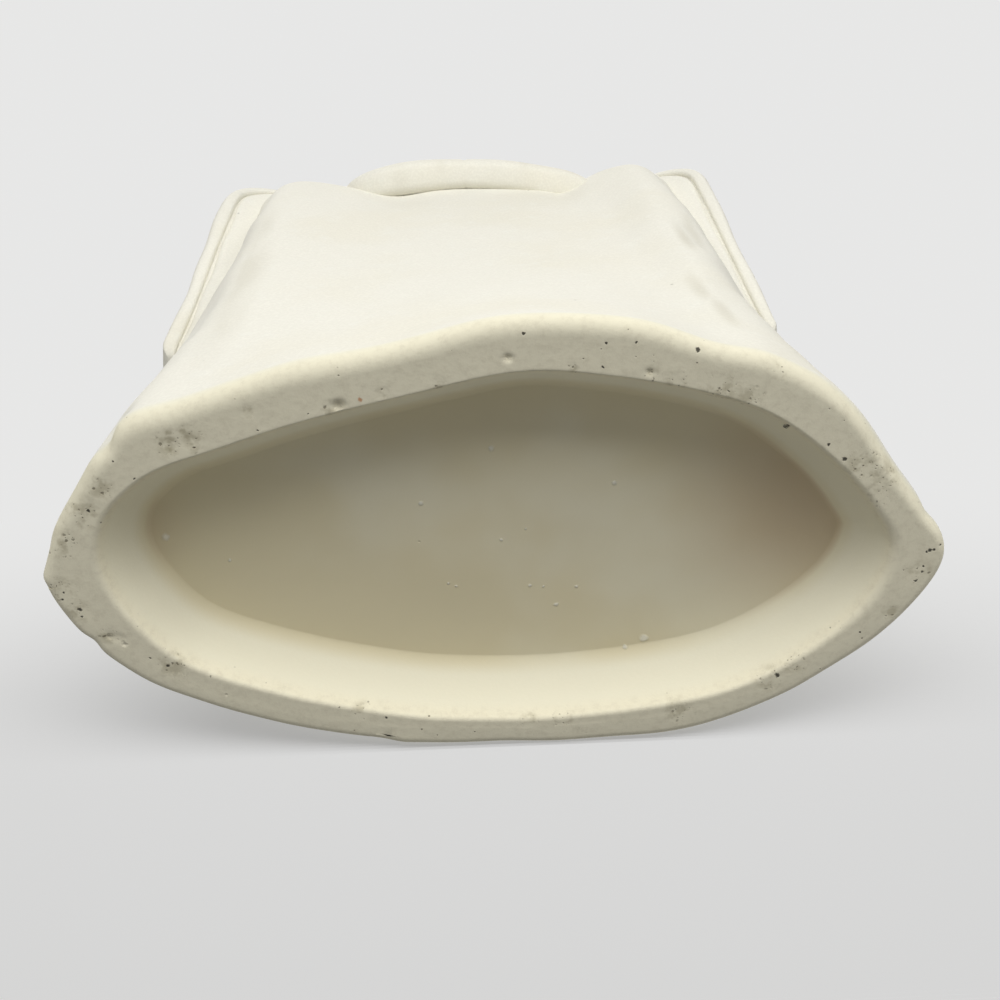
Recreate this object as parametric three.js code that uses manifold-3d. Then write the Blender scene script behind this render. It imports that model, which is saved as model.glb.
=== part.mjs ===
import * as THREE from 'three';
import Module from 'manifold-3d';

const wasm = await Module();
wasm.setup();

// Sizes in mm, standing on the foot: +Z up, -Y the front, +Y the back
const hemWide = 183.5;
const hemDeep = 97.8;
const wall = 4.5;
const joint = 0.3;
const wallTop = 180;
const shoulderRise = 18;
const shoulderRun = 30;
const neckEnd = wallTop + shoulderRun;
const shoulderWide = 70;
const shoulderDeep = 27;
const shoulderShift = 3;
const flare = 2.4;
const hemRound = 2.8;
const neckWide = 31;
const neckDeep = 18;
const neckShift = 0.5;

// Wrap of the front, and the lap between its two panels
const wrapStep = 1.1;
const wrapEdge = 19;
const wrapLap = 10;
const wrapRise = 3.2;
const wrapBend = [wallTop * 0.39, wallTop * 1.19];
const lapDepth = 2;
const stepMargin = 14;

// Foot recess
const recessDepth = 12.5;
const recessSlope = 7.8;
const floorThick = 4.5;
const footTop = recessDepth + joint + floorThick;

// Sleeve layers
const layerThick = 5.6;
const sleeveHead = wallTop + 11;
const headTaper = 16;
const outerCuff = 95;
const innerCuff = 99;
const cuffMouth = 2.4;
const cuffDepth = 16;
const cuffLip = 3.6;
const edgeRound = 1.6;

// Collar roll
const collarWide = 16;
const collarHigh = 5.4;
const lapelHigh = 3.6;
const rollSquare = 0.62;
const overLapelFoot = 66;
const underLapelFoot = 134;

const clay = { color: 0xe4dfcb, roughness: 0.85, metalness: 0 };

// Columns round the vase, from the +X seam over the back to the -X seam and along the front
const hem = [
  [91.5, -5], [89, 5.5], [81, 18.5], [71.5, 30], [58, 35], [39, 40.7], [20, 44.7], [-3, 49.4],
  [-24, 48.5], [-41.5, 42.8], [-54, 39], [-69.5, 29], [-81.5, 13.5], [-92, -3.5], [-84.5, -18],
  [-68, -33.6], [-44.6, -45], [-15, -48.4], [10, -48], [28, -46.4], [50, -41], [70, -32.3], [84, -19.8],
];
const foot = [
  [79.5, -0.5], [77.5, 9.5], [71.5, 16.5], [64.5, 21], [54, 24.5], [38, 29.5], [19, 34], [-4, 38.5],
  [-22, 37], [-40, 33], [-53.5, 27.5], [-66.5, 17], [-75, 7], [-79.8, -3], [-75.5, -16],
  [-62, -29], [-44, -37.5], [-15, -41.5], [9.5, -41], [26, -38.5], [47, -32.5], [65.5, -24], [75.5, -12],
];
const shoulder = [
  [73, -1], [72.5, 9], [71, 20], [66, 30], [58, 33], [42, 31], [22, 29.5], [-2, 28.7],
  [-22, 29], [-37, 30.5], [-50, 35.5], [-60, 32], [-65.5, 19], [-67, -1], [-65, -14],
  [-56, -23.5], [-38, -27], [-14, -28], [8, -28], [22, -27.8], [42, -26.5], [61, -22], [71, -12],
];

// Middle of the collar roll from -X round the nape to +X: x, y and share of the shoulder's rise
const nape = [
  [-34.5, -8, 1], [-37, 3, 1], [-37, 13, 0.95], [-35.6, 20, 0.76], [-31, 25, 0.54],
  [-23, 28, 0.44], [-12, 30, 0.56], [0, 30.7, 0.64], [13, 30.9, 0.58], [25.5, 30.4, 0.45],
  [34, 27.3, 0.55], [37.8, 20.5, 0.78], [38.5, 13, 0.95], [37.5, 3, 1], [35, -8, 1],
];

// Hollows pressed into the body below the arms and beside the nape: columns, and shares of the wall height
const hollowRight = 3.2;
const hollowLeft = 1.5;
const hollowNape = 3.3;
const hollows = [
  { depth: hollowRight, k: 11.2, wide: 0.8, at: 0.31, tall: 0.22 },
  { depth: hollowLeft, k: 2.9, wide: 0.7, at: 0.33, tall: 0.22 },
  { depth: hollowNape, k: 5.65, wide: 0.55, at: 1.03, tall: 0.16 },
  { depth: hollowNape, k: 8.55, wide: 0.5, at: 1.03, tall: 0.16 },
];
const columns = hem.length;
const seamRight = 13;
const drawn = new THREE.Box2().setFromPoints(hem.map(([x, y]) => new THREE.Vector2(x, y)));
const stretch = new THREE.Vector2(hemWide, hemDeep).divide(drawn.getSize(new THREE.Vector2()));

function outline(list) {
  const points = list.map(([x, y]) => new THREE.Vector3(x * stretch.x, y * stretch.y, 0));
  return new THREE.CatmullRomCurve3(points, true, 'catmullrom', 0.5);
}

const hemCurve = outline(hem);
const footCurve = outline(foot);
const shoulderCurve = outline(shoulder);

function along(curve, k) {
  return curve.getPoint(THREE.MathUtils.euclideanModulo(k / columns, 1));
}

function neckPoint(k) {
  const s = along(shoulderCurve, k);
  const angle = Math.atan2(s.y / shoulderDeep, (s.x - shoulderShift) / shoulderWide);
  return new THREE.Vector3(neckShift + neckWide * Math.cos(angle), neckDeep * Math.sin(angle), 0);
}

// Outer face of the clay: k counts columns, v runs up the wall and then over the shoulder
function skin(k, v) {
  const top = along(shoulderCurve, k);
  const hang = Math.max(1 - v / wallTop, 0) ** flare;
  const turn = (Math.max(v - wallTop, 0) / shoulderRun) * (Math.PI / 2);
  const point = v > wallTop ? neckPoint(k).lerp(top, Math.cos(turn)) : top.lerp(along(hemCurve, k), hang);
  point.multiplyScalar(1 - (pressed(k, v) * Math.cos(turn)) / point.length());
  return point.setZ(Math.min(v, wallTop) + shoulderRise * Math.sin(turn));
}

function pressed(k, v) {
  return hollows.reduce((sum, spot) => {
    const reach = ((k - spot.k) / spot.wide) ** 2 + ((v / wallTop - spot.at) / spot.tall) ** 2;
    return sum + spot.depth * Math.exp(-reach);
  }, 0);
}

function slopeAlong(k, v) {
  return skin(k + 0.02, v).sub(skin(k - 0.02, v)).divideScalar(0.04);
}

function slopeUp(k, v) {
  const low = Math.max(v - 0.5, 0);
  const high = Math.min(v + 0.5, neckEnd);
  return skin(k, high).sub(skin(k, low)).divideScalar(high - low);
}

function outward(k, v) {
  const normal = slopeAlong(k, v).cross(slopeUp(k, v)).normalize();
  normal.z *= THREE.MathUtils.smoothstep(v, footTop + wall, wallTop * 0.28);
  return normal.normalize();
}

function layer(k, v, depth) {
  return skin(k, v).addScaledVector(outward(k, v), -depth);
}

function shifted(k, v, length) {
  return k + length / slopeAlong(k, v).length();
}

function spread(from, to, count) {
  return Array.from({ length: count + 1 }, (_, i) => from + ((to - from) * i) / count);
}

// One closed body from rings of points, joined end to end or closed with a lid at each end
function body(rings, lids) {
  const count = rings[0].length;
  const index = [];
  const spans = lids ? rings.length - 1 : rings.length;
  for (let i = 0; i < spans; i += 1) {
    const low = i * count;
    const high = ((i + 1) % rings.length) * count;
    for (let j = 0; j < count; j += 1) {
      const next = (j + 1) % count;
      index.push(low + j, low + next, high + next, low + j, high + next, high + j);
    }
  }
  if (lids) {
    const last = (rings.length - 1) * count;
    lids[0].forEach(([a, b, c]) => index.push(c, b, a));
    lids[1].forEach(([a, b, c]) => index.push(last + a, last + b, last + c));
  }
  const geometry = new THREE.BufferGeometry();
  const points = rings.flat().flatMap((p) => p.toArray());
  geometry.setAttribute('position', new THREE.Float32BufferAttribute(points, 3));
  geometry.setIndex(volume(points, index) < 0 ? index.reverse() : index);
  geometry.computeVertexNormals();
  return geometry;
}

function volume(points, index) {
  const at = (i) => new THREE.Vector3().fromArray(points, index[i] * 3);
  let sum = 0;
  for (let i = 0; i < index.length; i += 3) {
    sum += at(i).dot(at(i + 1).cross(at(i + 2))) / 6;
  }
  return sum;
}

function lid(flat) {
  const contour = flat.map(([x, y]) => new THREE.Vector2(x, y));
  const clockwise = THREE.ShapeUtils.isClockWise(contour);
  const faces = THREE.ShapeUtils.triangulateShape(contour, []);
  return clockwise ? faces.map(([a, b, c]) => [c, b, a]) : faces;
}

// Lid between two chains of points that run the same way, the second one stored backwards
function zipped(outer, inner) {
  const last = outer.length + inner.length - 1;
  const faces = [];
  let i = 0;
  let j = 0;
  while (i < outer.length - 1 || j < inner.length - 1) {
    const outerNext = i < outer.length - 1 ? outer[i + 1][0] : Infinity;
    const innerNext = j < inner.length - 1 ? inner[j + 1][0] : Infinity;
    if (outerNext <= innerNext) {
      faces.push([i, i + 1, last - j]);
      i += 1;
    } else {
      faces.push([i, last - j - 1, last - j]);
      j += 1;
    }
  }
  return faces;
}

// A sheet of clay: outer and inner edge chains in column and depth, carried up through the levels
function sheet(profile, levels) {
  const rings = levels.map((v) => {
    const [outer, inner] = profile(v);
    return [...outer, ...inner.toReversed()].map(([k, depth]) => layer(k, v, depth));
  });
  return body(rings, [zipped(...profile(levels[0])), zipped(...profile(levels.at(-1)))]);
}

function hemDepth(v) {
  const rise = Math.max(hemRound - v, 0);
  return hemRound - Math.sqrt(hemRound ** 2 - rise ** 2);
}

const hemLevels = [0, hemRound * 0.3, hemRound, recessDepth];
const wallLevels = spread(0, 1, 9).map((share) => recessDepth + (wallTop - recessDepth) * share ** 1.15);
const panelLevels = [...hemLevels, ...wallLevels.slice(1), ...spread(wallTop, neckEnd, 9).slice(1)];

function backProfile(v) {
  const ks = spread(shifted(0, v, joint / 2), shifted(seamRight, v, -joint / 2), 39);
  return [ks.map((k) => [k, hemDepth(v)]), ks.map((k) => [k, wall])];
}

function wrapLine(v) {
  return wrapEdge - wrapRise * THREE.MathUtils.smoothstep(v, ...wrapBend);
}

function proud(k) {
  return wrapStep * THREE.MathUtils.smoothstep(k, seamRight, seamRight + 1.5);
}

function overProfile(v) {
  const edge = shifted(wrapLine(v), v, -joint);
  const back = shifted(edge, v, -wrapLap);
  const ks = spread(shifted(seamRight, v, joint / 2), back, 20);
  const lap = spread(back, edge, 2);
  const outer = [...ks, ...lap.slice(1)].map((k) => [k, hemDepth(v) - proud(k)]);
  const inner = [...ks.map((k) => [k, wall]), ...lap.map((k) => [k, lapDepth])];
  return [outer, inner];
}

function underProfile(v) {
  const edge = wrapLine(v);
  const lap = spread(shifted(edge, v, joint - wrapLap), edge, 2);
  const ks = spread(edge, shifted(columns, v, -joint / 2), 14);
  const cover = lap.map((k) => [k, lapDepth + joint]);
  const outer = [...cover, ...ks.map((k) => [k, Math.min(hemDepth(v), lapDepth)])];
  const inner = [...lap, ...ks.slice(1)].map((k) => [k, wall]);
  return [outer, inner];
}

// How far the clay at a place stands out from the plain outer face
function clayOver(k, v) {
  const edge = shifted(wrapLine(v), v, stepMargin);
  return k > seamRight && k < edge ? proud(k) : 0;
}

// Foot ring and floor
function recess(k, inset) {
  const tangent = along(footCurve, k + 0.02).sub(along(footCurve, k - 0.02)).normalize();
  const inward = new THREE.Vector3(-tangent.y, tangent.x, 0);
  const rise = recessDepth * (1 - (1 - inset / recessSlope) ** 1.7);
  return along(footCurve, k).addScaledVector(inward, inset).setZ(rise);
}

function footRing() {
  const rings = spread(0, columns, 69).slice(0, -1).map((k) => {
    const outer = [0, 4, recessDepth].map((v) => layer(k, v, wall + joint));
    const inner = [1, 0.72, 0.46, 0.22, 0].map((part) => recess(k, recessSlope * part));
    return [...outer, ...inner];
  });
  return body(rings, null);
}

function floorSlab() {
  const low = recessDepth + joint;
  const ks = spread(0, columns, 69).slice(0, -1);
  const rings = [low, low + floorThick].map((v) => ks.map((k) => layer(k, v, wall + joint)));
  const faces = rings.map((ring) => lid(ring.map((p) => [p.x, p.y])));
  return body(rings, faces);
}

// Sleeves: two layers on the outside of the body, each between a low and a high column
function sleeveLayer({ low, high, thin }, below, cuff, mouth) {
  const hang = spread(cuff + cuffLip, wallTop, 7);
  const levels = [cuff, cuff + cuffLip / 3, ...hang, ...spread(wallTop, sleeveHead, 6).slice(1)];
  const profile = (v) => {
    const share = (v - outerCuff) / (sleeveHead - outerCuff);
    const from = THREE.MathUtils.lerp(...low, share);
    const to = THREE.MathUtils.lerp(...high, share);
    const head = 1 - Math.max((v - sleeveHead + headTaper) / headTaper, 0) ** 2 * 0.65;
    const cuffRound = 1 - 0.3 * Math.max(1 - (v - cuff) / cuffLip, 0) ** 2;
    const thick = layerThick * head * (1 - thin * (1 - share));
    const under = joint + below * (thick + joint);
    const hollow = mouth * (1 - thin) * Math.max(1 - (v - cuff) / cuffDepth, 0);
    const round = Math.min(edgeRound, (thick * cuffRound - hollow) * 0.4);
    const ends = [shifted(from, v, round), shifted(to, v, -round)];
    const face = (k, rise) => [k, -(under + clayOver(k, v) + rise)];
    const crown = spread(...ends, 11).map((k) => face(k, thick * cuffRound));
    const outer = [face(from, thick * cuffRound - round), ...crown, face(to, thick * cuffRound - round)];
    const inner = spread(from, to, 16).map((k) => face(k, hollow));
    return [outer, inner];
  };
  return sheet(profile, levels);
}

// Collar: a roll along the neck and down the wrap, cut to sit on the body
function collarPath() {
  const over = spread(overLapelFoot, wallTop + shoulderRun / 3, 6).map((v) => [wrapLine(v), v]);
  const under = spread(wallTop + shoulderRun / 2, underLapelFoot, 4).map((v, i) => [-3.4 - i / 2, v]);
  const middle = nape.map(([x, y, share]) => {
    return new THREE.Vector3(x * stretch.x, y * stretch.y, wallTop + share * shoulderRise);
  });
  const tilt = nape.map(([x, y]) => {
    const up = 0.95 - 0.02 * Math.max(y, 0);
    return new THREE.Vector3(x / 110, y / 30, up).normalize();
  });
  const on = (list, place) => list.map(([k, v]) => place(k, v));
  const points = [...on(over, skin), ...middle, ...on(under, skin)];
  const leans = [...on(over, outward), ...tilt, ...on(under, outward)];
  const place = new THREE.CatmullRomCurve3(points, false, 'catmullrom', 0.5);
  const lean = new THREE.CatmullRomCurve3(leans, false, 'catmullrom', 0.5);
  return { place, lean, start: over.length, length: nape.length - 1, count: points.length - 1 };
}

function rollSection(count) {
  const soft = (value) => Math.sign(value) * Math.abs(value) ** rollSquare;
  const angles = spread(0, Math.PI * 2, count).slice(1);
  return angles.map((angle) => [soft(Math.cos(angle)), soft(Math.sin(angle))]);
}

function collarRoll() {
  const path = collarPath();
  const section = rollSection(12);
  const shares = spread(0, 1, 66);
  const rings = shares.map((share) => {
    const center = path.place.getPoint(share);
    const tangent = path.place.getTangent(share);
    const across = tangent.clone().cross(path.lean.getPoint(share)).normalize();
    const rise = across.clone().cross(tangent).normalize();
    const turn = (share * path.count - path.start) / path.length;
    const back = THREE.MathUtils.smoothstep(0.5 - Math.abs(turn - 0.5), -0.05, 0.3);
    const tuck = 1 - 0.45 * THREE.MathUtils.smoothstep(share, 0.86, 1);
    const high = THREE.MathUtils.lerp(lapelHigh, collarHigh, back) * tuck;
    const scale = Math.min(1, 0.72 + share * 20);
    return section.map(([a, h]) => {
      const side = across.clone().multiplyScalar((a * scale * collarWide) / 2);
      return side.addScaledVector(rise, h * high * scale).add(center);
    });
  });
  const ends = [lid(section), lid(section)];
  const parting = 41;
  const over = solid(body(rings.slice(0, parting + 1), ends));
  const under = solid(body(rings.slice(parting), ends));
  return geometryOf(over.add(under).subtract(solid(envelope())));
}

// The whole body as one filled form, one joint larger all round
function envelope() {
  const ks = spread(0, columns, 92).slice(0, -1);
  const upright = spread(overLapelFoot - collarWide, wallTop, 10);
  const levels = [...upright, ...spread(wallTop, neckEnd, 10).slice(1)];
  const rings = levels.map((v) => ks.map((k) => layer(k, v, -joint - clayOver(k, v))));
  const faces = [rings[0], rings.at(-1)].map((ring) => lid(ring.map((p) => [p.x, p.y])));
  return body(rings, faces);
}

function solid(geometry) {
  const vertProperties = new Float32Array(geometry.getAttribute('position').array);
  const triVerts = new Uint32Array(geometry.getIndex().array);
  return new wasm.Manifold(new wasm.Mesh({ numProp: 3, vertProperties, triVerts }));
}

function geometryOf(manifold) {
  const mesh = manifold.getMesh();
  const geometry = new THREE.BufferGeometry();
  geometry.setAttribute('position', new THREE.BufferAttribute(mesh.vertProperties, 3));
  geometry.setIndex(new THREE.BufferAttribute(mesh.triVerts, 1));
  geometry.computeVertexNormals();
  return geometry;
}

const group = new THREE.Group();

function add(name, geometry) {
  const mesh = new THREE.Mesh(geometry, new THREE.MeshStandardMaterial(clay));
  mesh.name = name;
  group.add(mesh);
}

const left = { low: [-1.4, -2.3], high: [1, 2.75], thin: 0.05 };
const right = { low: [12.45, 11.2], high: [14.2, 15], thin: 0.25 };

add('back_panel', sheet(backProfile, panelLevels));
add('front_over_panel', sheet(overProfile, panelLevels));
add('front_under_panel', sheet(underProfile, panelLevels));
add('foot_ring', footRing());
add('floor_slab', floorSlab());
add('sleeve_left_inner', sleeveLayer(left, 0, innerCuff, 0));
add('sleeve_left_outer', sleeveLayer(left, 1, outerCuff, cuffMouth));
add('sleeve_right_inner', sleeveLayer(right, 0, innerCuff, 0));
add('sleeve_right_outer', sleeveLayer(right, 1, outerCuff, cuffMouth));
add('collar', collarRoll());

export default group;
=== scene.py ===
import math

import bmesh
import bpy
import numpy as np
from mathutils import Matrix, Vector


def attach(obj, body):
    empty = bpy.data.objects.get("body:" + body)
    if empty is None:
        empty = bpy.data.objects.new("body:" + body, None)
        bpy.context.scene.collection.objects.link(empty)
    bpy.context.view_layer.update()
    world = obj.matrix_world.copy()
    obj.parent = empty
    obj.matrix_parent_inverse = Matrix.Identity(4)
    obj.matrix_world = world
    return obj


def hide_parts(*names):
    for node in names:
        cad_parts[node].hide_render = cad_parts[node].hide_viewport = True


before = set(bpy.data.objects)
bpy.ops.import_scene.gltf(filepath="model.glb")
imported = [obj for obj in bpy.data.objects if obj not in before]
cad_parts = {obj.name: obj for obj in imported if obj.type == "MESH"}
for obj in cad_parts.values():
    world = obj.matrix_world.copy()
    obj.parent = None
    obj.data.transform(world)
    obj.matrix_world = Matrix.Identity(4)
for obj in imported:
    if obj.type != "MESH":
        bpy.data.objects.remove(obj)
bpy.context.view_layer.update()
scene = bpy.context.scene
mm = 0.001  # in metres
print("frame:", ", ".join(sorted(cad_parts)))


# the robe's skin in mm, standing on its hem: k counts columns round it,
# v runs up the wall and over the shoulder
robe = {
    "wall": 4.5,
    "wallTop": 180.0,
    "shoulderRise": 18.0,
    "shoulderRun": 30.0,
    "shoulderSize": (70.0, 27.0),
    "shoulderMiddle": 3.0,
    "neckSize": (31.0, 18.0),
    "neckMiddle": 0.5,
    "flare": 2.4,
    "hemRound": 2.8,
    "upright": (21.8, 50.4),
    "leftSeam": 0,
    "rightSeam": 13,
    "columns": 23,
    "hem": [
        (91.5, -5), (89, 5.5), (81, 18.5), (71.5, 30), (58, 35), (39, 40.7), (20, 44.7), (-3, 49.4),
        (-24, 48.5), (-41.5, 42.8), (-54, 39), (-69.5, 29), (-81.5, 13.5), (-92, -3.5),
        (-84.5, -18), (-68, -33.6), (-44.6, -45), (-15, -48.4), (10, -48), (28, -46.4), (50, -41),
        (70, -32.3), (84, -19.8),
    ],
    "shoulder": [
        (73, -1), (72.5, 9), (71, 20), (66, 30), (58, 33), (42, 31), (22, 29.5), (-2, 28.7),
        (-22, 29), (-37, 30.5), (-50, 35.5), (-60, 32), (-65.5, 19), (-67, -1), (-65, -14),
        (-56, -23.5), (-38, -27), (-14, -28), (8, -28), (22, -27.8), (42, -26.5), (61, -22),
        (71, -12),
    ],
    "hollows": [  # depth, k, wide, height share, tall
        (3.2, 11.2, 0.8, 0.31, 0.22), (1.5, 2.9, 0.7, 0.33, 0.22), (3.3, 5.65, 0.55, 1.03, 0.16),
        (3.3, 8.55, 0.5, 1.03, 0.16),
    ],
}

# soft forms that stand on the skin: two ends in k and v, reach and height in mm
drape = {
    "uneven": 0.14,
    "waves": [(0.19, 0, 0, 1.3), (0, 0, 0.15, 0.4), (0.11, -0.23, 0.07, 0)],
    "fine": 0.6,  # share of the shorter waves
    "fineWaves": [(0.29, 0, 0.37, 2.0), (0, 0.31, 0, 0.9)],
    "seam": (0.22, 0.9),  # depth, reach
    "seamFade": (0, 6),
    "forms": [
        ((1.5, 96), (3.15, 184), 4.5, -1.3),
        ((2.9, 128), (2.9, 50), 7, -0.9),
        ((12.0, 96), (10.8, 184), 4.5, -1.2),
        ((10.5, 112), (10.6, 96), 5, -1.0),
        ((10.2, 60), (9.8, 24), 5, -0.6),
        ((7.9, 142), (8.55, 88), 7, -0.35),
        ((4.6, 150), (4.2, 60), 12, 0.5),
        ((15.1, 118), (15.0, 6), 9, -0.8),
        ((16.4, 96), (16.1, 6), 10, 0.6),
        ((17.5, 78), (17.6, 6), 8, -0.6),
        ((20.6, 120), (20.7, 6), 9, -0.8),
        ((21.6, 96), (21.9, 10), 6, 0.5),
        ((2.66, 2), (2.8, 7), 3.2, -1.4),
        ((0.2, 0.8), (0.24, 3), 1.5, 0.4),
        ((0.75, 1), (0.8, 6), 4, -0.3),
        ((12.5, 2), (12.55, 9), 2.6, -0.6),
        ((22.08, 0), (22.05, 6), 2.4, -0.8),
    ],
}


def smooth(x, low, high):
    t = np.clip((np.asarray(x, float) - low) / (high - low), 0, 1)
    return t * t * (3 - 2 * t)


def spline(points, k, closed=True):
    p = np.asarray(points, float)
    if not closed:
        p = np.vstack([2 * p[0] - p[1], p, 2 * p[-1] - p[-2]])
    k = np.asarray(k, float)
    i = np.floor(k).astype(int) if closed else np.minimum(np.floor(k).astype(int), len(p) - 4)
    t = (k - i)[..., None]
    shift = 0 if closed else 1
    a, b, c, d = (p[(i + j + shift) % len(p)] for j in (-1, 0, 1, 2))
    bend = 2 * a - 5 * b + 4 * c - d
    twist = 3 * b - a - 3 * c + d
    return (2 * b + (c - a) * t + bend * t**2 + twist * t**3) / 2


def skin(k, v):
    k, v = np.broadcast_arrays(np.asarray(k, float), np.asarray(v, float))
    top = spline(robe["shoulder"], k)
    rest = (1 - np.clip(v / robe["wallTop"], 0, 1)) ** robe["flare"]
    body = top + (spline(robe["hem"], k) - top) * rest[..., None]
    wide, deep = robe["shoulderSize"]
    angle = np.arctan2(top[..., 1] / deep, (top[..., 0] - robe["shoulderMiddle"]) / wide)
    wide, deep = robe["neckSize"]
    neck = np.stack([robe["neckMiddle"] + wide * np.cos(angle), deep * np.sin(angle)], -1)
    turn = np.clip((v - robe["wallTop"]) / robe["shoulderRun"], 0, 1) * math.pi / 2
    over = neck + (top - neck) * np.cos(turn)[..., None]
    onWall = v <= robe["wallTop"]
    plan = np.where(onWall[..., None], body, over)
    pressed = sum(
        depth * np.exp(-(((k - at) / wide) ** 2) - ((v / robe["wallTop"] - high) / tall) ** 2)
        for depth, at, wide, high, tall in robe["hollows"]
    )
    plan = plan * (1 - pressed * np.cos(turn) / np.linalg.norm(plan, axis=-1))[..., None]
    height = np.where(onWall, v, robe["wallTop"] + robe["shoulderRise"] * np.sin(turn))
    return np.concatenate([plan, height[..., None]], -1)


def unit(p):
    return p / np.maximum(np.linalg.norm(p, axis=-1, keepdims=True), 1e-9)


# the skin's run per column
def alongSkin(k, v, step=0.02):
    return (skin(k + step, v) - skin(k - step, v)) / (2 * step)


def outward(k, v, step=0.5):
    k, v = np.broadcast_arrays(np.asarray(k, float), np.asarray(v, float))
    end = robe["wallTop"] + robe["shoulderRun"]
    low, high = np.maximum(v - step, 0), np.minimum(v + step, end)
    normal = unit(np.cross(alongSkin(k, v), skin(k, high) - skin(k, low)))
    normal[..., 2] *= smooth(v, *robe["upright"])
    return unit(normal)


# a wave is radians per mm along x, y and z, and a start
def ripples(p, waves):
    return [np.sin(p @ np.array(pace) + start) for *pace, start in waves]


def relief(k, v, p):
    sideways, upwards, slanted = ripples(p, drape["waves"])
    fine, cross = ripples(p, drape["fineWaves"])
    rise = drape["uneven"] * (sideways * upwards + slanted + drape["fine"] * fine * cross)
    for (k0, v0), (k1, v1), reach, height in drape["forms"]:
        a, b = skin(np.array(k0), np.array(v0)), skin(np.array(k1), np.array(v1))
        along = np.clip(((p - a) @ (b - a)) / ((b - a) @ (b - a)), 0, 1)
        away = np.linalg.norm(p - a - along[..., None] * (b - a), axis=-1)
        rise = rise + height * np.exp(-((away / reach) ** 2))
    depth, reach = drape["seam"]
    for seam in (robe["leftSeam"], robe["rightSeam"], robe["columns"]):
        away = (k - seam) * np.linalg.norm(alongSkin(k, v), axis=-1)
        rise = rise - depth * np.exp(-((away / reach) ** 2)) * smooth(v, *drape["seamFade"])
    return rise


# a point under the skin by depth, with the drape on it
def clayAt(k, v, depth, draped=1.0):
    k, v, depth, draped = np.broadcast_arrays(k, v, depth, draped)
    p = skin(k, v)
    return p + outward(k, v) * (relief(k, v, p) * draped - depth)[..., None]


# the column that lies a length in mm further round
def shifted(k, v, length):
    return k + length / np.linalg.norm(alongSkin(k, v), axis=-1)


# closed mesh from rows of points in mm, each row a loop; a strip, a fan or the first row closes it
def clayPiece(name, rows, ends, clay, nodes, sharp=50):
    rows = np.asarray(rows, float)
    count, size = rows.shape[:2]
    corner = np.arange(count * size).reshape(count, size)
    spans = count if ends == "ring" else count - 1
    low = corner[np.arange(spans)]
    high = corner[(np.arange(spans) + 1) % count]
    quads = np.stack([low, np.roll(low, -1, 1), np.roll(high, -1, 1), high], -1)
    quads = quads.reshape(-1, 4).tolist()
    points = rows.reshape(-1, 3)
    if ends == "strip":
        half = size // 2
        for row in (corner[0][::-1], corner[-1]):
            quads += [[row[i], row[i + 1], row[-2 - i], row[-1 - i]] for i in range(half - 1)]
    if ends == "fan":
        for row in (0, count - 1):
            middle = len(points)
            points = np.vstack([points, rows[row].mean(0)])
            loop = corner[row] if row else corner[row][::-1]
            quads += [[middle, loop[i], loop[(i + 1) % size]] for i in range(size)]
    mesh = bpy.data.meshes.new(name)
    mesh.from_pydata((points * mm).tolist(), [], [[int(i) for i in face] for face in quads])
    form = bmesh.new()
    form.from_mesh(mesh)
    bmesh.ops.remove_doubles(form, verts=form.verts, dist=1e-6)
    bmesh.ops.recalc_face_normals(form, faces=form.faces)
    form.to_mesh(mesh)
    form.free()
    mesh.shade_smooth()
    mesh.set_sharp_from_angle(angle=math.radians(sharp))
    piece = bpy.data.objects.new(name, mesh)
    scene.collection.objects.link(piece)
    mesh.materials.append(clay)
    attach(piece, "root")
    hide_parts(*nodes)
    print(f"{name}: {len(mesh.polygons)} faces")


# a shader socket that takes part in plain sums
class Value:
    def __init__(self, paint, socket):
        self.paint = paint
        self.socket = socket

    def calc(self, operation, *terms):
        return self.paint.node("Math", {"operation": operation}, dict(enumerate(terms)))

    def __add__(self, other):
        return self.calc("ADD", self, other)

    def __radd__(self, other):
        return self.calc("ADD", other, self)

    def __sub__(self, other):
        return self.calc("SUBTRACT", self, other)

    def __rsub__(self, other):
        return self.calc("SUBTRACT", other, self)

    def __mul__(self, other):
        return self.calc("MULTIPLY", self, other)

    def __rmul__(self, other):
        return self.calc("MULTIPLY", other, self)

    def __gt__(self, other):
        return self.calc("GREATER_THAN", self, other)

    def __lt__(self, other):
        return self.calc("LESS_THAN", self, other)

    def most(self, other):
        return self.calc("MAXIMUM", self, other)

    def ramp(self, low, high, start=0.0, end=1.0):
        settings = {"interpolation_type": "SMOOTHSTEP"}
        sockets = {"Value": self, "From Min": low, "From Max": high, "To Min": start, "To Max": end}
        return self.paint.node("MapRange", settings, sockets)


# one material, or the world, and its nodes
class Paint:
    def __init__(self, owner):
        owner.use_nodes = True
        self.owner = owner
        self.tree = owner.node_tree
        self.tree.nodes.clear()

    def node(self, kind, settings=None, sockets=None, out=0):
        made = self.tree.nodes.new("ShaderNode" + kind)
        for name, setting in (settings or {}).items():
            setattr(made, name, setting)
        for name, value in (sockets or {}).items():
            socket = made.inputs[name]
            if isinstance(value, Value):
                self.tree.links.new(value.socket, socket)
            else:
                socket.default_value = value
        return Value(self, made.outputs[out]) if made.outputs else made

    def mix(self, share, first, second):
        settings = {"data_type": "RGBA", "clamp_factor": True}
        return self.node("Mix", settings, {0: share, 6: first, 7: second}, out=2)

    def noise(self, place, scale, detail=2.0, rough=0.5):
        sockets = {"Vector": place, "Scale": scale, "Detail": detail, "Roughness": rough}
        return self.node("TexNoise", None, sockets)

    def finish(self, shader):
        output = "OutputWorld" if isinstance(self.owner, bpy.types.World) else "OutputMaterial"
        self.node(output, None, {"Surface": shader})
        return self.owner


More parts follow.
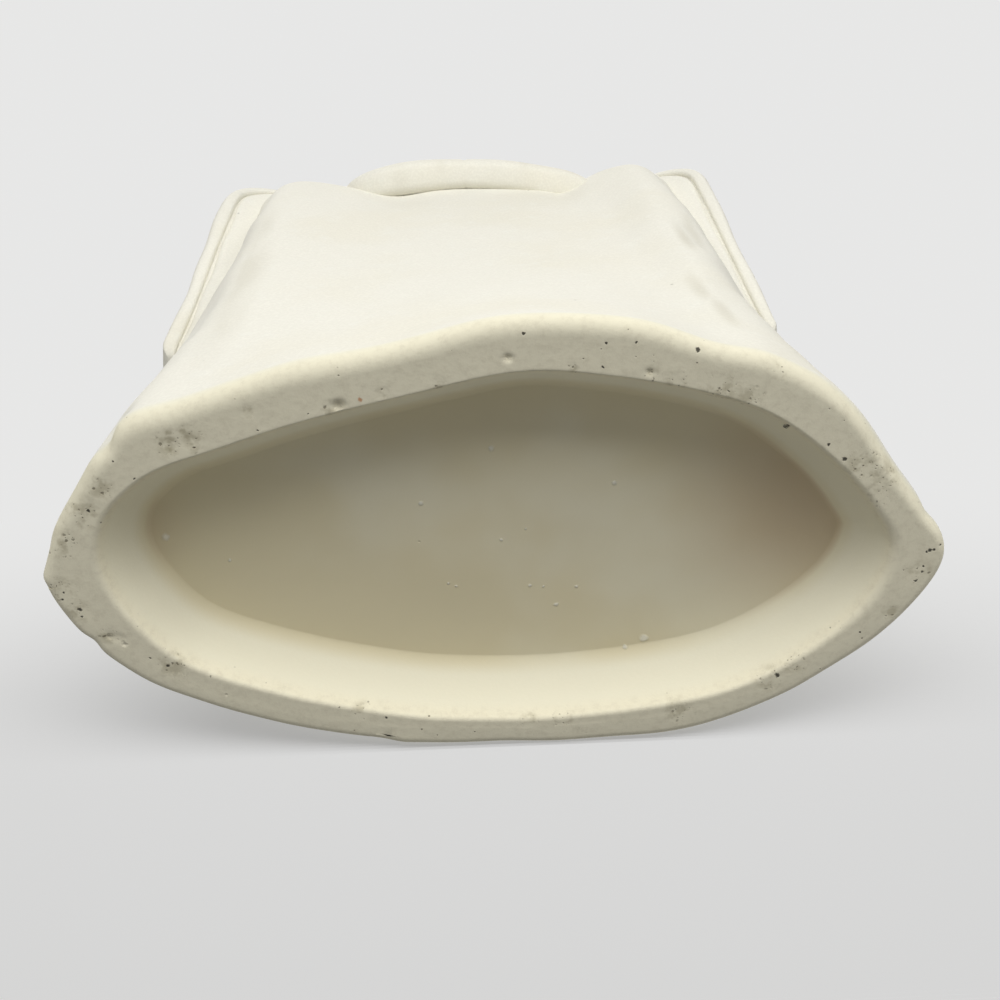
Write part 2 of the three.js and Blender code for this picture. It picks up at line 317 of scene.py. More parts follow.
# unglazed cream clay; a mark is x, y, z where it isn't 0, and reach, all in mm;
# levels are in metres
bisque = {
    "cream": (0.80, 0.78, 0.69, 1),
    "warm": (0.775, 0.74, 0.615, 1),
    "chalk": (0.825, 0.815, 0.735, 1),
    "bare": (0.80, 0.76, 0.585, 1),
    "hem": (0.775, 0.755, 0.59, 1),
    "rim": (0.80, 0.75, 0.575, 1),
    "dust": (0.52, 0.47, 0.35, 1),
    # painted shade in the recess: the next two colours give a browner tint and browner, darker ends
    "umber": (0.70, 0.625, 0.415, 1),
    "endShadeBrown": (0.55, 0.435, 0.285, 1),
    # the next colour is real dirt on the rim and also painted shade in the back's hollows
    "dirtAndShade": (0.36, 0.32, 0.205, 1),
    "soil": (0.145, 0.12, 0.075, 1),
    "pit": (0.03, 0.027, 0.02, 1),
    "rust": (0.50, 0.20, 0.07, 1),
    "specular": 0.3,
    "bump": {"Strength": 0.55, "Distance": 0.0004},
    "stretch": 6,  # how far streaks are drawn out upwards
    "ragged": 0.9,
    "raggedNoise": {"Scale": 1100, "Detail": 3},
    "rimLevel": (0.001, 0.004),
    "hemLevel": (0.001, 0.005),
    "bareLevel": (0.03, 0.04),
    # painted shade in the recess: heights of its browner tint and of its darker ends, then its
    # strength
    "recessShadeTintLevel": (0.009, 0.0125),
    "recessEndShadeLevel": (0.0115, 0.0125),
    "recessShade": 0.85,
    "noises": {  # scale, detail, roughness
        "broad": (24, 3),
        "mottle": (170, 4, 0.6),
        "grain": (1500, 2),
        "streak": (90, 3),
        "coarse": (260, 3, 0.6),
        "speckle": (520, 4, 0.75),
    },
    "veils": {  # noise from and to, share of the colour
        "warm": (0.42, 0.68, 0.45),
        "chalk": (0.5, 0.78, 0.5),
        "streak": (0.56, 0.8, 0.12),
        "dust": (0.42, 0.72, 0.3),
        "smudges": (0.44, 0.62, 0.46),
    },
    "fades": {  # noise from and to, result from and to
        "rough": (0.3, 0.7, 0.79, 0.90),
        "grain": (0.35, 0.75, 0.07, 0.0),
        # the next two fade painted shade: streaks in the back's hollows, patches in the recess
        "handled": (0.36, 0.6, 0.3, 1),
        "umber": (0.3, 0.6, 0.35, 1),
        "drips": (0.3, 0.6, 0.4, 1),
    },
    "pores": {  # scale, size, share of the cells
        "pinholes": (120, 0.075, 0.08),
        "rim": (620, 0.2, 0.12),
        "large": (800, 0.36, 0.48),
        "small": (1500, 0.4, 0.45),
    },
    "poreVary": 0.7,
    "poreEdge": 0.5,
    "shares": {
        # the first share and the last on this line are painted shade: the back's hollows and the
        # recess ends
        "handled": 0.24, "pinholes": 0.4, "tone": 0.85, "rim": 0.85, "blush": 0.9,
        "lumps": 0.6, "drips": 0.6, "specks": 0.7, "pits": 0.92, "rustSpot": 0.75,
    },
    "heights": {
        "grain": 0.05, "mottle": 0.22, "broad": 0.3, "pinholes": 0.6, "speckle": 0.25,
        "pits": 1.6, "nicks": 1.4, "smudges": 0.5, "specks": 0.5,
    },
    "soft": {  # shares of the reach where a mark begins to fade, and where it ends
        # the back's hollow shade and the recess ends below are painted shade
        "handled": (0.1, 1.0), "smudges": (0.25, 1.15), "drips": (0.2, 1.0), "pits": (0.26, 0.62),
        "nicks": (0.0, 0.9), "rustSpot": (0.4, 1.0), "lumps": (0.3, 1.0), "blush": (0.1, 1.0),
    },
    "smudges": [
        (61.7, 26.3, 3.2), (58.2, 26.8, 3.6), (80.5, 12.0, 4.5), (76.1, 17.7, 3.0),
        (84.6, 5.5, 4.0), (87.6, -5.0, 3.5), (85.0, -10.0, 3.0), (80.2, -16.4, 2.6),
        (68.3, -24.4, 3.6), (30.2, -37.8, 2.6), (46.2, 32.5, 1.6), (31.0, 32.6, 2.2),
        (-41.9, 33.2, 4.5), (-47.5, 31.2, 3.6), (-53.3, 37.2, 2.2), (-71.5, 16.8, 4.8),
        (-76.0, 14.6, 4.0), (-74.5, 10.3, 3.4), (-85.8, -8.6, 3.4), (-57.0, -33.8, 3.6),
        (-62.0, -29.8, 3.2), (-38.0, -41.4, 3.6), (-13.0, -43.0, 3.4), (-5.4, -42.1, 2.4),
        (-28.9, 37.0, 2.2), (-33.6, 35.3, 2.6), (-14.2, 38.8, 1.6), (10.4, 36.6, 1.8),
        (20.9, 35.2, 1.6), (-81.0, -17.5, 2.2),
    ],
    "drips": [
        (61.5, 28.8, 0.9), (61.5, 27.2, 1.2), (61.7, 25.6, 1.3), (58.9, 28.8, 0.9),
        (58.5, 27.2, 1.1), (58.2, 26.2, 1.3), (57.4, 24.8, 1.1),
    ],
    "pits": [
        (79.2, 12.8, 0.75), (84.8, -9.6, 0.9), (87.3, -5.5, 0.6), (87.9, -7.0, 0.6),
        (84.8, -11.4, 0.5), (69.3, -24.1, 0.7), (25.2, -39.8, 0.55), (35.1, 31.7, 0.4),
        (44.9, 28.6, 0.45), (69.4, 19.4, 0.45), (72.8, 23.2, 0.5), (-5.2, 46.0, 0.6),
        (-20.3, 43.7, 0.55), (-25.8, 43.7, 0.55), (-37.3, 41.7, 0.2, 0.9), (-19.8, 39.0, 0.5),
        (-63.7, 21.5, 0.6), (-67.2, 18.3, 0.75), (-87.2, -3.0, 0.8), (-86.5, -3.3, 0.6),
        (-87.9, -2.9, 0.6), (-55.9, 23.9, 3.6, 0.95), (-55.8, 24.5, 2.7, 1.0),
        (-55.75, 25.0, 1.9, 1.0), (-55.7, 25.5, 1.1, 0.95), (-89.2, -1.8, 0.7), (-86.3, -6.7, 0.55),
        (-86.3, -8.0, 0.55), (-85.3, -10.1, 0.6), (-75.3, -22.5, 0.5), (-58.7, -32.7, 1.0),
        (61.0, -27.4, 0.45), (34.9, -36.7, 0.45), (72.8, -22.0, 0.5),
    ],
    "nicks": [
        (29.4, 32.9, 1.5), (-2.3, 41.4, 0.9), (-28.5, 37.7, 0.7), (80.2, -16.4, 1.1),
        (77.4, -18.4, 1.0),
    ],
    "rustSpot": [(25.3, 34.2, 0.6)],
    "lumps": [  # on the recessed floor
        (68.9, -0.6, 12.5, 1.1), (15.7, 5.2, 12.5, 0.7), (1.0, 17.3, 12.5, 0.8),
        (-24.3, 8.5, 12.5, 0.7), (-12.2, -20.8, 12.5, 0.7), (-31.8, -30.5, 12.5, 1.3),
        (9.1, -15.1, 12.5, 0.5), (10.8, -14.3, 12.5, 0.4), (-0.7, -4.0, 12.5, 0.45),
        (-5.9, -1.7, 12.5, 0.4), (-6.7, -15.7, 12.5, 0.45), (-9.5, -16.1, 12.5, 0.4),
        (-16.7, -16.4, 12.5, 0.5), (-27.6, -32.5, 12.5, 0.8), (56.4, -6.7, 12.5, 0.45),
    ],
    "blush": [  # painted shade: browner, darker ends of the recess
        (-68, 4, 12.5, 42), (84, 4, 12.5, 24),
    ],
    "handled": [  # painted shade in the hollows beside the sleeves and under the collar, with faint grey smudges, on the back, drawn out upwards
        (62, 32.8, 118, 7), (59.5, 33.2, 82, 8), (58, 33.8, 50, 7), (-57, 34.3, 108, 3.5),
        (-52.2, 35.8, 96, 3), (-47.2, 37.1, 52, 3), (-49, 38.3, 33, 3), (24, 34, 176, 5),
        (11, 36, 190, 3), (-16, 36, 190, 3),
    ],
}


# greatest of many soft discs
def spots(paint, place, kind, stretch=1):
    near, far = bisque["soft"][kind]
    most = None
    for *middle, reach in bisque[kind]:
        x, y, z = (middle + [0])[:3]
        points = {0: place, 1: (x * mm, y * mm, z / stretch * mm)}
        away = paint.node("VectorMath", {"operation": "DISTANCE"}, points, out="Value")
        spot = away.ramp(reach * near * mm, reach * far * mm, 1, 0)
        most = spot if most is None else most.most(spot)
    return most


# dots of many sizes in a share of the cells
def pores(paint, place, kind):
    scale, size, share = bisque["pores"][kind]
    sockets = {"Vector": place, "Scale": scale}
    cells = {"Color": paint.node("TexVoronoi", None, sockets, out="Color")}
    smaller = paint.node("SeparateColor", None, cells, out="Green") * (size * bisque["poreVary"])
    away = paint.node("TexVoronoi", None, sockets) + smaller
    near = away.ramp(size * bisque["poreEdge"], size, 1, 0)
    return near * (paint.node("SeparateColor", None, cells, out="Red") > 1 - share)


def veil(noise, kind):
    low, high, share = bisque["veils"][kind]
    return noise.ramp(low, high) * share


# places moved a little by noise, so that marks get a ragged edge
def roughen(paint, place):
    sockets = {"Vector": place, **bisque["raggedNoise"]}
    wobble = paint.node("TexNoise", None, sockets, out="Color")
    shift = (bisque["ragged"] * mm,) * 3
    moved = paint.node("VectorMath", {"operation": "MULTIPLY_ADD"}, {0: wobble, 1: shift, 2: place})
    half = tuple(n / 2 for n in shift)
    return paint.node("VectorMath", {"operation": "SUBTRACT"}, {0: moved, 1: half})


# plain clay; with a tone, also the worn rim and the recess with its painted shade, a browner floor
# and darker ends, by height
def makeClay(name, tone=None, recessShade=0.0):
    share, rise, fade, noises = (bisque[n] for n in ("shares", "heights", "fades", "noises"))
    stretch = bisque["stretch"]
    paint = Paint(bpy.data.materials.new(name))
    place = paint.node("TexCoord", out="Object")
    stretched = {"Vector": place, "Scale": (1, 1, stretch)}
    drawn = paint.node("Mapping", {"vector_type": "TEXTURE"}, stretched)
    broad, mottle, grain = (paint.noise(place, *noises[n]) for n in ("broad", "mottle", "grain"))
    streak = paint.noise(drawn, *noises["streak"])
    colour = paint.mix(veil(broad, "warm"), bisque["cream"], bisque["warm"])
    colour = paint.mix(veil(mottle, "chalk"), colour, bisque["chalk"])
    colour = paint.mix(veil(streak, "streak"), colour, bisque["warm"])
    colour = paint.mix(grain.ramp(*fade["grain"]), colour, bisque["soil"])
    # painted shade in the hollows beside the sleeves and under the collar, with faint grey smudges
    handled = spots(paint, drawn, "handled", stretch) * streak.ramp(*fade["handled"])
    colour = paint.mix(handled * share["handled"], colour, bisque["dirtAndShade"])
    pinholes = pores(paint, place, "pinholes")
    colour = paint.mix(pinholes * share["pinholes"], colour, bisque["pit"])
    height = grain * rise["grain"] + mottle * rise["mottle"] + broad * rise["broad"]
    height = height - pinholes * rise["pinholes"]
    if tone:
        level = paint.node("SeparateXYZ", None, {0: place}, out="Z")
        onRim = level.ramp(*bisque["rimLevel"], 1, 0)
        coarse, speckle = (paint.noise(place, *noises[n]) for n in ("coarse", "speckle"))
        ragged = roughen(paint, place)
        kinds = ("smudges", "pits", "nicks", "lumps", "rustSpot", "drips")
        smudges, pits, nicks, lumps, rust, drips = (spots(paint, ragged, n) for n in kinds)
        clusters = pores(paint, ragged, "large") + pores(paint, ragged, "small")
        specks = onRim * pores(paint, place, "rim") + smudges * clusters
        # painted shade in the recess: a browner tint over its floor, and browner, darker ends
        umber = level.ramp(*bisque["recessShadeTintLevel"], 0, recessShade) * broad.ramp(*fade["umber"])
        blush = level.ramp(*bisque["recessEndShadeLevel"], 0, recessShade) * spots(paint, place, "blush")
        toned = level.ramp(*bisque[tone + "Level"], share["tone"], 0)
        colour = paint.mix(toned, colour, bisque[tone])
        colour = paint.mix(onRim * share["rim"], colour, bisque["rim"])
        # paint the recess's shade: a browner floor, then browner, darker ends
        colour = paint.mix(umber, colour, bisque["umber"])
        colour = paint.mix(blush * share["blush"], colour, bisque["endShadeBrown"])
        colour = paint.mix(lumps * share["lumps"], colour, bisque["chalk"])
        colour = paint.mix(onRim * veil(speckle, "dust"), colour, bisque["dust"])
        colour = paint.mix(smudges * veil(coarse, "smudges"), colour, bisque["dirtAndShade"])
        dripped = drips * coarse.ramp(*fade["drips"])
        colour = paint.mix(dripped * share["drips"], colour, bisque["dirtAndShade"])
        colour = paint.mix(specks * share["specks"], colour, bisque["soil"])
        colour = paint.mix(pits * share["pits"], colour, bisque["pit"])
        colour = paint.mix(rust * share["rustSpot"], colour, bisque["rust"])
        height = height + onRim * speckle * rise["speckle"] + lumps
        height = height - pits * rise["pits"] - nicks * rise["nicks"]
        height = height - smudges * coarse * rise["smudges"] - specks * rise["specks"]
    sockets = {
        "Base Color": colour,
        "Roughness": mottle.ramp(*fade["rough"]),
        "Normal": paint.node("Bump", None, {"Height": height, **bisque["bump"]}),
        "Specular IOR Level": bisque["specular"],
    }
    return paint.finish(paint.node("BsdfPrincipled", None, sockets))


bodyClay = makeClay("bisque")
wallClay = makeClay("bisqueWall", "hem")
# the foot takes the recess's painted shade
footClay = makeClay("bisqueFoot", "bare", bisque["recessShade"])
print("materials: bisque, bisqueWall, bisqueFoot")


# walls: levels up the skin, with the rounded hem and the lip of the neck
walls = {
    "hemSteps": 16,
    "hemSoft": [(11.9, 1.0, 1.4, 5.6), (6.0, 4.5, 1.4, 0.6)],  # column, spread, more depth and rise
    "wallSteps": 84,
    "shoulderSteps": 26,
    "lip": 2.0,
    "lipSteps": 7,
    "perColumn": 15,
    "overColumns": 5,
    "underColumns": 8,
    "wrapEdge": 19.0,
    "wrapRise": 3.2,
    "wrapBend": (70.2, 214.2),
    "wrapStep": 1.1,
    "wrapFade": (188.0, 206.0),
    "wrapStart": 1.5,  # columns from the seam in which the step grows
    "wrapLap": 10.0,
    "lapDepth": 2.0,
    "lapFade": (-3.0, -0.6),
    "lapSteps": 14,
    "edgeRound": 0.9,
    "edgeFade": 7.0,
    "edgeFlat": (4, 34),
    "edgeSteps": 9,
    "edgeSunk": 0.05,
}


def wallLevels():
    top, end = robe["wallTop"], robe["wallTop"] + robe["shoulderRun"]
    hemTop = robe["hemRound"] + walls["hemSoft"][0][3]
    turn = np.linspace(0, math.pi / 2, walls["hemSteps"])
    lip = end - walls["lip"] + walls["lip"] * np.sin(np.linspace(0, math.pi / 2, walls["lipSteps"]))
    levels = [
        hemTop * (1 - np.cos(turn)),
        np.linspace(hemTop, top, walls["wallSteps"])[1:],
        np.linspace(top, end - walls["lip"], walls["shoulderSteps"])[1:],
        lip[1:],
    ]
    return np.concatenate(levels)


def roundedDepth(k, v):
    end = robe["wallTop"] + robe["shoulderRun"]
    deeper = taller = 0 * k
    for at, spread, depth, rise in walls["hemSoft"]:
        soft = np.exp(-(((k - at) / spread) ** 2))
        deeper, taller = np.maximum(deeper, depth * soft), np.maximum(taller, rise * soft)
    low = np.clip(1 - v / (robe["hemRound"] + taller), 0, 1)
    high = np.clip(v - end + walls["lip"], 0, walls["lip"])
    hem = (robe["hemRound"] + deeper) * (1 - np.sqrt(1 - low**2))
    return hem + walls["lip"] - np.sqrt(walls["lip"] ** 2 - high**2)


def wrapLine(v):
    return walls["wrapEdge"] - walls["wrapRise"] * smooth(v, *walls["wrapBend"])


def wrapStep(v):
    return walls["wrapStep"] * (1 - smooth(v, *walls["wrapFade"]))


def proud(k, v):
    return wrapStep(v) * smooth(k, robe["rightSeam"], robe["rightSeam"] + walls["wrapStart"])


def backRows():
    seam = robe["rightSeam"]
    v = wallLevels()[:, None]
    k = np.linspace(0, seam, seam * walls["perColumn"] + 1)[None, :]
    outer = clayAt(k, v, roundedDepth(k, v))
    inner = clayAt(k, v, robe["wall"] + 0 * k, 0.0)
    return np.concatenate([outer, inner[:, ::-1]], 1)


# the over panel ends in a rounded edge that runs out flat at the hem
def overRows():
    seam = robe["rightSeam"]
    v = wallLevels()[:, None]
    edge = wrapLine(v)
    step = wrapStep(v)
    flat = 1 - smooth(v, *walls["edgeFlat"])
    run = walls["edgeRound"] + walls["edgeFade"] * flat
    share = np.linspace(0, 1, walls["overColumns"] * walls["perColumn"])[None, :]
    k = seam + (shifted(edge, v, -run) - seam) * share
    outer = clayAt(k, v, roundedDepth(k, v) - proud(k, v))
    t = np.linspace(0, 1, walls["edgeSteps"])[None, 1:]
    lipK = shifted(edge, v, run * (t - 1))
    drop = (1 - np.sqrt(1 - t**2)) * (1 - flat) + smooth(t, 0, 1) * flat
    lip = clayAt(lipK, v, roundedDepth(lipK, v) - step + (step - walls["edgeSunk"]) * drop)
    tuck = shifted(edge, v, -walls["wrapLap"])
    lapped = np.linspace(0, 1, walls["lapSteps"])[None, :]
    free = np.linspace(0, 1, outer.shape[1] + lip.shape[1] - walls["lapSteps"])[None, :]
    inner = clayAt(seam + (tuck - seam) * free, v, robe["wall"], 0.0)
    under = clayAt(tuck + (edge - tuck) * lapped, v, walls["lapDepth"], 0.0)
    return np.concatenate([outer, lip, np.concatenate([inner, under], 1)[:, ::-1]], 1)


def underRows():
    v = wallLevels()[:, None]
    edge = wrapLine(v)
    tuck = shifted(edge, v, -walls["wrapLap"])
    share = np.linspace(0, 1, walls["underColumns"] * walls["perColumn"])[None, :]
    k = tuck + (robe["columns"] - tuck) * share
    lap = 1 - smooth((k - edge) * np.linalg.norm(alongSkin(k, v), axis=-1), *walls["lapFade"])
    outer = clayAt(k, v, roundedDepth(k, v) * (1 - lap) + walls["lapDepth"] * lap)
    inner = clayAt(k, v, robe["wall"] + 0 * k, 0.0)
    return np.concatenate([outer, inner[:, ::-1]], 1)


clayPiece("backWall", backRows(), "strip", wallClay, ["back_panel"])
clayPiece("frontOver", overRows(), "strip", wallClay, ["front_over_panel"])
clayPiece("frontUnder", underRows(), "strip", wallClay, ["front_under_panel"])


# foot: flat rim, crisp inner edge and a hollow wall that runs out into the floor
base = {
    "rim": [
        (79.5, -0.5), (77.5, 9.5), (71.5, 16.5), (64.5, 21), (54, 24.5), (38, 29.5), (19, 34),
        (-4, 38.5), (-22, 37), (-40, 33), (-53.5, 27.5), (-66.5, 17), (-75, 7), (-79.8, -3),
        (-75.5, -16), (-62, -29), (-44, -37.5), (-15, -41.5), (9.5, -41), (26, -38.5), (47, -32.5),
        (65.5, -24), (75.5, -12),
    ],
    "depth": 12.5,
    "slope": 8.1,
    "curve": 1.5,
    "edge": 0.9,
    "edgeIn": 0.32,  # share of it in the hollow
    "edgeBack": (6.5, 4.5, 0.6, 0.5),  # column, spread, less on the rim, more in the hollow
    "edgeSoft": [(13.2, 1.2, 1.3), (0.0, 1.5, 0.5), (23.0, 1.5, 0.5)],  # column, spread, more width
    "floor": 4.5,
    "floorMiddle": (0.0, -2.0),
    "floorWave": 0.12,
    "floorWaves": [(0.13, 0, 0, 0.5), (0, 0.17, 0, 0.2)],
    "floorFade": 4,
    "floorRings": 34,
    "floorShares": (0.6, 0.02),  # rings on top of it
    "seat": 0.02,
    "wear": 0.012,
    "wearLeast": 1.4,
    "wearFine": 0.4,
    "wearWaves": [(0.31, 0, 0, 0.4), (0, 0.43, 0, 1.1), (0.9, 0, 0, 0), (0, 1.1, 0, 0)],
    "chipCurve": 1.5,
    "perColumn": 44,
    "rimSteps": 18,
    "edgeSteps": 9,
    "hollowSteps": 26,
    "hollowEase": 1.6,
    "chips": [  # x, y, reach, depth
        (29.4, 32.9, 1.15, 0.8), (-2.3, 41.4, 0.75, 0.5), (-28.5, 37.7, 0.6, 0.35),
        (78.2, -17.1, 1.3, 0.2), (61.7, 26.3, 1.5, 0.08), (58.2, 26.8, 1.5, 0.08),
        (80.5, 13.5, 1.6, 0.12), (80.2, -16.4, 1.2, 0.2),
    ],
}


def rimInset(k, inset, rise, step=0.02):
    p = spline(base["rim"], k)
    tangent = unit(spline(base["rim"], k + step) - spline(base["rim"], k - step))
    inward = np.stack([-tangent[..., 1], tangent[..., 0]], -1)
    plan = p + inward * inset[..., None]
    return np.concatenate([plan, (rise + 0 * inset)[..., None]], -1)


def recessRise(inset):
    return base["depth"] * (1 - (1 - np.clip(inset / base["slope"], 0, 1)) ** base["curve"])


def footColumns():
    columns = robe["columns"]
    return np.linspace(0, columns, columns * base["perColumn"], endpoint=False)[:, None]


def worn(p):
    sideways, cross, fine, fineCross = ripples(p, base["wearWaves"])
    wave = sideways * cross + base["wearFine"] * fine * fineCross
    rise = base["wear"] * (base["wearLeast"] + wave)
    for x, y, reach, depth in base["chips"]:
        away = ((p[..., 0] - x) ** 2 + (p[..., 1] - y) ** 2) / reach**2
        rise = rise + depth * np.exp(-(away ** base["chipCurve"]))
    return rise


def footRows():
    k = footColumns()
    outer = clayAt(k, np.zeros((1, 1)), robe["wall"], 0.0)
    width = base["edge"] + sum(
        more * np.exp(-(((k - at) / spread) ** 2)) for at, spread, more in base["edgeSoft"]
    )
    at, spread, less, more = base["edgeBack"]
    back = np.exp(-(((k - at) / spread) ** 4))
    start, end = width * (1 - less * back), width * (base["edgeIn"] + more * back)
    lip = rimInset(k, -start, np.zeros((1, 1)))
    share = np.linspace(0, 1, base["rimSteps"])[None, :, None]
    flat = outer + (lip - outer) * share
    fade = np.sin(np.pi * np.clip(share[..., 0], 0.0, 0.5))
    flat[..., 2] = worn(flat) * fade
    t = np.linspace(0, 1, base["edgeSteps"])[None, 1:]
    edge = rimInset(k + 0 * t, end * t**2 - start * (1 - t) ** 2, recessRise(end) * t**2)
    edge[..., 2] += worn(flat[:, -1:]) * (1 - t)
    ease = 1 - (1 - np.linspace(0, 1, base["hollowSteps"])[None, 1:]) ** base["hollowEase"]
    inset = end + (base["slope"] - end) * ease
    hollow = rimInset(k + 0 * inset, inset, recessRise(inset))
    top = clayAt(k, np.full((1, 1), base["depth"]), robe["wall"], 0.0)
    top[..., 2] = base["depth"] + base["seat"]
    return np.concatenate([flat, edge, hollow, top], 1)


def floorRows():
    k = footColumns()
    ring = rimInset(k, np.full((1, 1), base["slope"]) + 0 * k, np.full((1, 1), base["depth"]))[:, 0]
    far = clayAt(k, np.full((1, 1), base["depth"]), robe["wall"], 0.0)[:, 0]
    middle = np.array([*base["floorMiddle"], base["depth"]])
    rows = []
    for share in np.linspace(base["floorShares"][-1], 1, base["floorRings"]):
        row = middle + (ring - middle) * share
        sideways, cross = ripples(row, base["floorWaves"])
        row[:, 2] += base["floorWave"] * sideways * cross * (1 - share ** base["floorFade"])
        rows.append(row)
    for level in (base["depth"], base["depth"] + base["floor"]):
        rows.append(np.column_stack([far[:, :2], np.full(len(far), level)]))
    rows += [middle + (rows[-1] - middle) * np.array([s, s, 1]) for s in base["floorShares"]]
    return rows


clayPiece("footRing", footRows(), "ring", footClay, ["foot_ring"])
clayPiece("floorSlab", floorRows(), "fan", footClay, ["floor_slab"])


# sleeves: two soft layers on each side, from a low to a high column at the cuff and at the head
sleeves = {
    "left": {
        "low": (-1.4, -2.3),
        "high": (1.0, 2.75),
        "thin": 0.05,
        "cuffRound": (5.0, 3.0),  # along the sleeve, into it
        "names": ("leftInner", "leftOuter"),
    },
    "right": {
        "low": (12.45, 11.2),
        "high": (14.2, 15.0),
        "thin": 0.25,
        "cuffRound": (2.3, 2.3),
        "names": ("rightInner", "rightOuter"),
    },
    "thick": (6.8, 4.4),  # inner, outer
    "gap": 0.3,
    "sunk": (1.6, 1.3),
    "overReach": 14.0,  # past the wrap, where the sleeve lies on the step
    "undercut": 1.1,
    "undercutMost": 0.3,
    "underLap": 1.2,
    "head": 191.0,
    "headTaper": 16.0,
    "headThin": 0.65,
    "cuffs": (96.2, 95.0),
    "mouth": 2.0,
    "mouthDepth": 16.0,
    "mouthEdge": (0.04, 0.2),
    "mouthRise": 0.4,
    "mouthMost": 0.7,
    "round": 2.3,
    "roundMost": 0.46,
    "roundLoss": 0.6,
    "roundLeast": 0.15,
    "soft": [(0.22, 0.19, 2.2, 3), (0.16, 0.09, -1.3, 1)],  # height, pace in v, in k, by layer
    "endFrom": 0.12,
    "endSteps": 9,
    "cornerSteps": 8,
    "levels": 64,
    "across": 40,
}


def clayOver(k, v):
    edge = shifted(wrapLine(v), v, sleeves["overReach"])
    return np.where((k > robe["rightSeam"]) & (k < edge), proud(k, v), 0)


# one layer of a sleeve, row by row from the cuff to the head; below counts the layers under it
def sleeveRows(side, below):
    part = sleeves[side]
    cuff, lowest = sleeves["cuffs"][below], sleeves["cuffs"][1]
    lip = sleeves["round"]
    along, deep = part["cuffRound"]
    turn = np.linspace(sleeves["endFrom"], 1, sleeves["endSteps"]) * math.pi / 2
    corner = np.linspace(0, math.pi / 2, sleeves["cornerSteps"])
    low = cuff + along * (1 - np.cos(turn))
    high = sleeves["head"] - lip * (1 - np.cos(turn))[::-1]
    v = np.concatenate([low, np.linspace(low[-1], high[0], sleeves["levels"])[1:-1], high])
    inset = 1 - np.sin(turn)
    inset = np.concatenate([deep * inset, np.zeros(sleeves["levels"] - 2), lip * inset[::-1]])
    rows = []
    for level, shrink in zip(v, inset):
        share = (level - lowest) / (sleeves["head"] - lowest)
        start = part["low"][0] + (part["low"][1] - part["low"][0]) * share
        stop = part["high"][0] + (part["high"][1] - part["high"][0]) * share
        nearHead = max((level - sleeves["head"] + sleeves["headTaper"]) / sleeves["headTaper"], 0)
        taper = (1 - nearHead**2 * sleeves["headThin"]) * (1 - part["thin"] * (1 - share))
        thick = sleeves["thick"][below] * taper
        under = sleeves["gap"] + below * (sleeves["thick"][0] * taper + sleeves["gap"])
        nearCuff = max(1 - (level - cuff) / sleeves["mouthDepth"], 0)
        hollow = below * sleeves["mouth"] * (1 - part["thin"]) * nearCuff
        radius = min(lip, (thick - hollow) * sleeves["roundMost"]) - sleeves["roundLoss"] * shrink
        radius = max(radius, sleeves["roundLeast"])
        start = shifted(start, level, shrink)
        stop = shifted(stop, level, -shrink)
        tall = thick - shrink
        undercut = min(sleeves["undercut"], tall * sleeves["undercutMost"]) * below
        sideways = np.concatenate([undercut * (1 - np.sin(corner)), radius * (1 - np.cos(corner))])
        over = tall - radius + radius * np.sin(corner)
        rise = np.concatenate([undercut * (1 - np.cos(corner)), over])
        ends = shifted(start, level, radius), shifted(stop, level, -radius)
        flat = np.linspace(*ends, sleeves["across"])
        k = np.concatenate([
            shifted(start, level, sideways), flat[1:-1], shifted(stop, level, -sideways[::-1]),
        ])
        crown = np.concatenate([rise, np.full(sleeves["across"] - 2, tall), rise[::-1]])
        soft = sum(
            size * np.sin(paceV * level + paceK * k + shift * below)
            for size, paceV, paceK, shift in sleeves["soft"]
        )
        crown = crown + soft * np.clip(crown / tall, 0, 1)
        outer = clayAt(k, level, -(under + clayOver(k, level) + crown), 0.0)
        lap = undercut * sleeves["underLap"]
        innerK = np.linspace(shifted(start, level, lap), shifted(stop, level, -lap), len(k))
        across = np.linspace(0, 1, len(k))
        edge = sleeves["mouthEdge"]
        mouth = hollow * smooth(across, *edge) * smooth(1 - across, *edge)
        sunk = sleeves["sunk"][below] * np.maximum(1 - mouth, 0)
        floor = mouth + sleeves["mouthRise"] * shrink - sunk
        floor = np.minimum(floor, tall * sleeves["mouthMost"])
        inner = clayAt(innerK, level, -(under + clayOver(innerK, level) + floor), 0.0)
        rows.append(np.concatenate([outer, inner[::-1]]))
    return rows


for side in ("left", "right"):
    for below, layer in enumerate(("inner", "outer")):
        name = sleeves[side]["names"][below] + "Sleeve"
        node = f"sleeve_{side}_{layer}"
        clayPiece(name, sleeveRows(side, below), "strip", bodyClay, [node])


